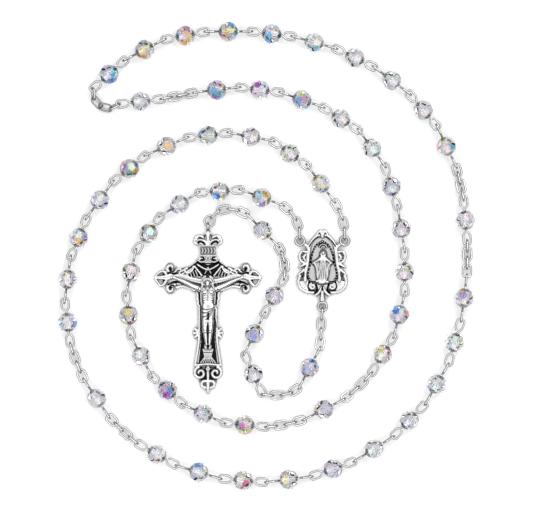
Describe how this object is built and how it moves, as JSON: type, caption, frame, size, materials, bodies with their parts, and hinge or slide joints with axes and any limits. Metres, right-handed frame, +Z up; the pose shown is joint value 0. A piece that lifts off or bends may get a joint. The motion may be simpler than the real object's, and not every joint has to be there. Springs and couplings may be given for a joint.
{
  "type": "rosary",
  "caption": "Five-decade rosary laid in a spiral: faceted clear crystal beads on silvery eye pins and chain, with a centre medal and a crucifix.",
  "frame": {"origin": "middle of the centre medal's flat back, on the table", "axes": "+Z up from the table; +Y from the medal's lower ear towards its crest; +X to the medal's right"},
  "size_m": [0.1253, 0.1405, 0.0061],
  "materials": {
    "crystal": "clear faceted crystal with an iridescent coating",
    "silver_wire": "bright silver-plated wire",
    "medal_silver": "cast and oxidised silver plate, dark in the recesses",
    "cross_silver": "cast and oxidised silver plate, dark in the recesses",
    "corpus_silver": "bright cast silver plate"
  },
  "bodies": {
    "centre_medal": {"centre_medal": "medal_silver"},
    "left_medal_chain": {"left_medal_chain": "silver_wire"},
    "decade_1_first": {"decade_1_first_beads": "crystal", "decade_1_first_pins": "silver_wire"},
    "decade_1_last": {"decade_1_last_beads": "crystal", "decade_1_last_pins": "silver_wire"},
    "chain_after_decade_1": {"chain_after_decade_1": "silver_wire"},
    "our_father_1_pin": {"our_father_1_pin": "silver_wire"},
    "our_father_1_bead": {"our_father_1_bead": "crystal"},
    "chain_before_decade_2": {"chain_before_decade_2": "silver_wire"},
    "decade_2_first": {"decade_2_first_beads": "crystal", "decade_2_first_pins": "silver_wire"},
    "decade_2_last": {"decade_2_last_beads": "crystal", "decade_2_last_pins": "silver_wire"},
    "chain_after_decade_2": {"chain_after_decade_2": "silver_wire"},
    "our_father_2_pin": {"our_father_2_pin": "silver_wire"},
    "our_father_2_bead": {"our_father_2_bead": "crystal"},
    "right_medal_chain": {"right_medal_chain": "silver_wire"},
    "decade_5_last": {"decade_5_last_beads": "crystal", "decade_5_last_pins": "silver_wire"},
    "decade_5_first": {"decade_5_first_beads": "crystal", "decade_5_first_pins": "silver_wire"},
    "chain_before_decade_5": {"chain_before_decade_5": "silver_wire"},
    "our_father_4_pin": {"our_father_4_pin": "silver_wire"},
    "our_father_4_bead": {"our_father_4_bead": "crystal"},
    "chain_after_decade_4": {"chain_after_decade_4": "silver_wire"},
    "decade_4_last": {"decade_4_last_beads": "crystal", "decade_4_last_pins": "silver_wire"},
    "decade_4_first": {"decade_4_first_beads": "crystal", "decade_4_first_pins": "silver_wire"},
    "chain_before_decade_4": {"chain_before_decade_4": "silver_wire"},
    "our_father_3_pin": {"our_father_3_pin": "silver_wire"},
    "our_father_3_bead": {"our_father_3_bead": "crystal"},
    "chain_after_decade_3": {"chain_after_decade_3": "silver_wire"},
    "decade_3_last": {"decade_3_last_beads": "crystal", "decade_3_last_pins": "silver_wire"},
    "decade_3_first": {"decade_3_first_beads": "crystal", "decade_3_first_pins": "silver_wire"},
    "chain_before_decade_3": {"chain_before_decade_3": "silver_wire"},
    "pendant_chain_1_upper": {"pendant_chain_1_upper": "silver_wire"},
    "pendant_chain_1_lower": {"pendant_chain_1_lower": "silver_wire"},
    "pendant_our_father_1_pin": {"pendant_our_father_1_pin": "silver_wire"},
    "pendant_our_father_1_bead": {"pendant_our_father_1_bead": "crystal"},
    "pendant_chain_2_upper": {"pendant_chain_2_upper": "silver_wire"},
    "pendant_chain_2_lower": {"pendant_chain_2_lower": "silver_wire"},
    "pendant_hail_mary_1_pin": {"pendant_hail_mary_1_pin": "silver_wire"},
    "pendant_hail_mary_1_bead": {"pendant_hail_mary_1_bead": "crystal"},
    "pendant_hail_mary_2_pin": {"pendant_hail_mary_2_pin": "silver_wire"},
    "pendant_hail_mary_2_bead": {"pendant_hail_mary_2_bead": "crystal"},
    "pendant_hail_mary_3_pin": {"pendant_hail_mary_3_pin": "silver_wire"},
    "pendant_hail_mary_3_bead": {"pendant_hail_mary_3_bead": "crystal"},
    "pendant_chain_3_upper": {"pendant_chain_3_upper": "silver_wire"},
    "pendant_chain_3_lower": {"pendant_chain_3_lower": "silver_wire"},
    "pendant_our_father_2_pin": {"pendant_our_father_2_pin": "silver_wire"},
    "pendant_our_father_2_bead": {"pendant_our_father_2_bead": "crystal"},
    "pendant_chain_4_upper": {"pendant_chain_4_upper": "silver_wire"},
    "pendant_chain_4_lower": {"pendant_chain_4_lower": "silver_wire"},
    "crucifix_jump_ring": {"crucifix_jump_ring": "silver_wire"},
    "crucifix": {"crucifix_cross": "cross_silver", "crucifix_corpus": "corpus_silver"}
  },
  "joints": [
    {"name": "left_medal_chain_lift", "type": "hinge", "parent": "centre_medal", "child": "left_medal_chain", "pos_m": [-0.0067, 0.0086, 0.00165], "axis": [0.9969, 0.0792, 0], "range_deg": [-60, 60]},
    {"name": "decade_1_first_lift", "type": "hinge", "parent": "left_medal_chain", "child": "decade_1_first", "pos_m": [-0.01239, 0.01826, 0.00313], "axis": [0.6238, 0.7816, 0], "range_deg": [-60, 60]},
    {"name": "decade_1_last_lift", "type": "hinge", "parent": "decade_1_first", "child": "decade_1_last", "pos_m": [-0.05886, -0.00779, 0.00305], "axis": [-0.9933, -0.1155, 0], "range_deg": [-60, 50]},
    {"name": "chain_after_decade_1_lift", "type": "hinge", "parent": "decade_1_last", "child": "chain_after_decade_1", "pos_m": [-0.01608, -0.04852, 0.00305], "axis": [-0.0997, -0.995, 0], "range_deg": [-45, 20]},
    {"name": "our_father_1_pin_lift", "type": "hinge", "parent": "chain_after_decade_1", "child": "our_father_1_pin", "pos_m": [-0.00504, -0.04607, 0.00317], "axis": [0.2912, -0.9567, 0], "range_deg": [-60, 60]},
    {"name": "our_father_1_bead_spin", "type": "hinge", "parent": "our_father_1_pin", "child": "our_father_1_bead", "pos_m": [0.00041, -0.04321, 0.00305], "axis": [0.8899, 0.4562, 0], "continuous": true},
    {"name": "chain_before_decade_2_lift", "type": "hinge", "parent": "our_father_1_pin", "child": "chain_before_decade_2", "pos_m": [0.00591, -0.04046, 0.00317], "axis": [0.6072, -0.7945, 0], "range_deg": [-25, 60]},
    {"name": "decade_2_first_lift", "type": "hinge", "parent": "chain_before_decade_2", "child": "decade_2_first", "pos_m": [0.01434, -0.03292, 0.00305], "axis": [0.8575, -0.5145, 0], "range_deg": [-20, 60]},
    {"name": "decade_2_last_lift", "type": "hinge", "parent": "decade_2_first", "child": "decade_2_last", "pos_m": [0.01844, 0.03052, 0.00305], "axis": [0.9543, 0.2989, 0], "range_deg": [-55, 60]},
    {"name": "chain_after_decade_2_lift", "type": "hinge", "parent": "decade_2_last", "child": "chain_after_decade_2", "pos_m": [-0.03762, 0.05185, 0.00326], "axis": [-0.1898, 0.9818, 0], "range_deg": [-20, 60]},
    {"name": "our_father_2_pin_lift", "type": "hinge", "parent": "chain_after_decade_2", "child": "our_father_2_pin", "pos_m": [-0.04727, 0.04994, 0.00305], "axis": [-0.1228, 0.9924, 0], "range_deg": [-60, 60]},
    {"name": "our_father_2_bead_spin", "type": "hinge", "parent": "our_father_2_pin", "child": "our_father_2_bead", "pos_m": [-0.05445, 0.04905, 0.00305], "axis": [-0.9924, -0.1228, 0], "continuous": true},
    {"name": "right_medal_chain_lift", "type": "hinge", "parent": "centre_medal", "child": "right_medal_chain", "pos_m": [0.0067, 0.0086, 0.00165], "axis": [0.9997, 0.0229, 0], "range_deg": [-60, 45]},
    {"name": "decade_5_last_lift", "type": "hinge", "parent": "right_medal_chain", "child": "decade_5_last", "pos_m": [0.00323, 0.0196, 0.00313], "axis": [0.8671, 0.4981, 0], "range_deg": [-60, 45]},
    {"name": "decade_5_first_lift", "type": "hinge", "parent": "decade_5_last", "child": "decade_5_first", "pos_m": [-0.05218, 0.03349, 0.00305], "axis": [-0.6284, 0.7779, 0], "range_deg": [-20, 9]},
    {"name": "chain_before_decade_5_lift", "type": "hinge", "parent": "decade_5_first", "child": "chain_before_decade_5", "pos_m": [-0.0754, -0.02431, 0.00305], "axis": [-0.9914, -0.131, 0], "range_deg": [-60, 20]},
    {"name": "our_father_4_pin_lift", "type": "hinge", "parent": "chain_before_decade_5", "child": "our_father_4_pin", "pos_m": [-0.07117, -0.0348, 0.00317], "axis": [-0.9017, -0.4324, 0], "range_deg": [-30, 45]},
    {"name": "our_father_4_bead_spin", "type": "hinge", "parent": "our_father_4_pin", "child": "our_father_4_bead", "pos_m": [-0.06769, -0.03987, 0.00305], "axis": [0.5585, -0.8295, 0], "continuous": true},
    {"name": "chain_after_decade_4_lift", "type": "hinge", "parent": "our_father_4_pin", "child": "chain_after_decade_4", "pos_m": [-0.0643, -0.045, 0.00317], "axis": [-0.7398, -0.6728, 0], "range_deg": [-30, 50]},
    {"name": "decade_4_last_lift", "type": "hinge", "parent": "chain_after_decade_4", "child": "decade_4_last", "pos_m": [-0.05589, -0.05304, 0.00305], "axis": [-0.4974, -0.8675, 0], "range_deg": [-60, 60]},
    {"name": "decade_4_first_lift", "type": "hinge", "parent": "decade_4_last", "child": "decade_4_first", "pos_m": [0.01, -0.05855, 0.00305], "axis": [0.335, -0.9422, 0], "range_deg": [-40, 50]},
    {"name": "chain_before_decade_4_lift", "type": "hinge", "parent": "decade_4_first", "child": "chain_before_decade_4", "pos_m": [0.04323, -0.00354, 0.00326], "axis": [0.9988, -0.0488, 0], "range_deg": [-15, 60]},
    {"name": "our_father_3_pin_lift", "type": "hinge", "parent": "chain_before_decade_4", "child": "our_father_3_pin", "pos_m": [0.04346, 0.0063, 0.00305], "axis": [0.9959, 0.0909, 0], "range_deg": [-20, 60]},
    {"name": "our_father_3_bead_spin", "type": "hinge", "parent": "our_father_3_pin", "child": "our_father_3_bead", "pos_m": [0.0428, 0.0135, 0.00305], "axis": [-0.0909, 0.9959, 0], "continuous": true},
    {"name": "chain_after_decade_3_lift", "type": "hinge", "parent": "our_father_3_pin", "child": "chain_after_decade_3", "pos_m": [0.04214, 0.02072, 0.00305], "axis": [0.9959, 0.0909, 0], "range_deg": [-50, 45]},
    {"name": "decade_3_last_lift", "type": "hinge", "parent": "chain_after_decade_3", "child": "decade_3_last", "pos_m": [0.0398, 0.03027, 0.00326], "axis": [0.9594, 0.2822, 0], "range_deg": [-15, 40]},
    {"name": "decade_3_first_lift", "type": "hinge", "parent": "decade_3_last", "child": "decade_3_first", "pos_m": [-0.00801, 0.06841, 0.00305], "axis": [0.1193, 0.9929, 0], "range_deg": [-45, 50]},
    {"name": "chain_before_decade_3_swing", "type": "hinge", "parent": "decade_3_first", "child": "chain_before_decade_3", "pos_m": [-0.06881, 0.05318, 0.00314], "axis": [0.3297, -0.2538, 0.9093], "range_deg": [-78, 0]},
    {"name": "pendant_chain_1_upper_lift", "type": "hinge", "parent": "centre_medal", "child": "pendant_chain_1_upper", "pos_m": [0, -0.0137, 0.00165], "axis": [-0.9964, 0.0842, 0], "range_deg": [-45, 45]},
    {"name": "pendant_chain_1_lower_lift", "type": "hinge", "parent": "pendant_chain_1_upper", "child": "pendant_chain_1_lower", "pos_m": [-0.00039, -0.01951, 0.00203], "axis": [-0.9992, 0.0398, 0], "range_deg": [-60, 60]},
    {"name": "pendant_our_father_1_pin_lift", "type": "hinge", "parent": "pendant_chain_1_lower", "child": "pendant_our_father_1_pin", "pos_m": [-0.00093, -0.02538, 0.00313], "axis": [-0.9914, 0.1309, 0], "range_deg": [-45, 60]},
    {"name": "pendant_our_father_1_bead_spin", "type": "hinge", "parent": "pendant_our_father_1_pin", "child": "pendant_our_father_1_bead", "pos_m": [-0.0039, -0.03078, 0.00305], "axis": [-0.4627, -0.8865, 0], "continuous": true},
    {"name": "pendant_chain_2_upper_lift", "type": "hinge", "parent": "pendant_our_father_1_pin", "child": "pendant_chain_2_upper", "pos_m": [-0.0066, -0.03634, 0.00317], "axis": [-0.568, 0.823, 0], "range_deg": [-60, 60]},
    {"name": "pendant_chain_2_lower_lift", "type": "hinge", "parent": "pendant_chain_2_upper", "child": "pendant_chain_2_lower", "pos_m": [-0.01177, -0.03885, 0.0017], "axis": [-0.049, 0.9988, 0], "range_deg": [-60, 60]},
    {"name": "pendant_hail_mary_1_pin_lift", "type": "hinge", "parent": "pendant_chain_2_lower", "child": "pendant_hail_mary_1_pin", "pos_m": [-0.01772, -0.03919, 0.00305], "axis": [0.9136, 0.4066, 0], "range_deg": [-60, 20]},
    {"name": "pendant_hail_mary_1_bead_spin", "type": "hinge", "parent": "pendant_hail_mary_1_pin", "child": "pendant_hail_mary_1_bead", "pos_m": [-0.02066, -0.03257, 0.00305], "axis": [-0.4066, 0.9136, 0], "continuous": true},
    {"name": "pendant_hail_mary_2_pin_lift", "type": "hinge", "parent": "pendant_hail_mary_1_pin", "child": "pendant_hail_mary_2_pin", "pos_m": [-0.02361, -0.02596, 0.00305], "axis": [0.9136, 0.4066, 0], "range_deg": [-60, 60]},
    {"name": "pendant_hail_mary_2_bead_spin", "type": "hinge", "parent": "pendant_hail_mary_2_pin", "child": "pendant_hail_mary_2_bead", "pos_m": [-0.02039, -0.02055, 0.00305], "axis": [0.4478, 0.8942, 0], "continuous": true},
    {"name": "pendant_hail_mary_3_pin_lift", "type": "hinge", "parent": "pendant_hail_mary_2_pin", "child": "pendant_hail_mary_3_pin", "pos_m": [-0.01791, -0.01551, 0.00305], "axis": [0.8758, -0.4826, 0], "range_deg": [-50, 50]},
    {"name": "pendant_hail_mary_3_bead_spin", "type": "hinge", "parent": "pendant_hail_mary_3_pin", "child": "pendant_hail_mary_3_bead", "pos_m": [-0.01442, -0.00917, 0.00305], "axis": [0.4826, 0.8758, 0], "continuous": true},
    {"name": "pendant_chain_3_upper_lift", "type": "hinge", "parent": "pendant_hail_mary_3_pin", "child": "pendant_chain_3_upper", "pos_m": [-0.01093, -0.00283, 0.00305], "axis": [0.8758, -0.4826, 0], "range_deg": [-40, 60]},
    {"name": "pendant_chain_3_lower_lift", "type": "hinge", "parent": "pendant_chain_3_upper", "child": "pendant_chain_3_lower", "pos_m": [-0.01148, 0.00182, 0.00166], "axis": [0.9955, 0.0947, 0], "range_deg": [-60, 60]},
    {"name": "pendant_our_father_2_pin_lift", "type": "hinge", "parent": "pendant_chain_3_lower", "child": "pendant_our_father_2_pin", "pos_m": [-0.01361, 0.00631, 0.00326], "axis": [0.8771, 0.4803, 0], "range_deg": [-10, 50]},
    {"name": "pendant_our_father_2_bead_spin", "type": "hinge", "parent": "pendant_our_father_2_pin", "child": "pendant_our_father_2_bead", "pos_m": [-0.01791, 0.01047, 0.00305], "axis": [-0.7012, 0.713, 0], "continuous": true},
    {"name": "pendant_chain_4_upper_lift", "type": "hinge", "parent": "pendant_our_father_2_pin", "child": "pendant_chain_4_upper", "pos_m": [-0.02213, 0.01495, 0.00313], "axis": [0.4357, 0.9001, 0], "range_deg": [-50, 60]},
    {"name": "pendant_chain_4_lower_lift", "type": "hinge", "parent": "pendant_chain_4_upper", "child": "pendant_chain_4_lower", "pos_m": [-0.02767, 0.01697, 0.00203], "axis": [-0.1888, 0.982, 0], "range_deg": [-60, 60]},
    {"name": "crucifix_jump_ring_lift", "type": "hinge", "parent": "pendant_chain_4_lower", "child": "crucifix_jump_ring", "pos_m": [-0.03307, 0.01471, 0.00165], "axis": [-0.8988, 0.4384, 0], "range_deg": [-15, 20]},
    {"name": "crucifix_lift", "type": "hinge", "parent": "crucifix_jump_ring", "child": "crucifix", "pos_m": [-0.03447, 0.01184, 0.00165], "axis": [-1, 0, 0], "range_deg": [-60, 20]}
  ]
}
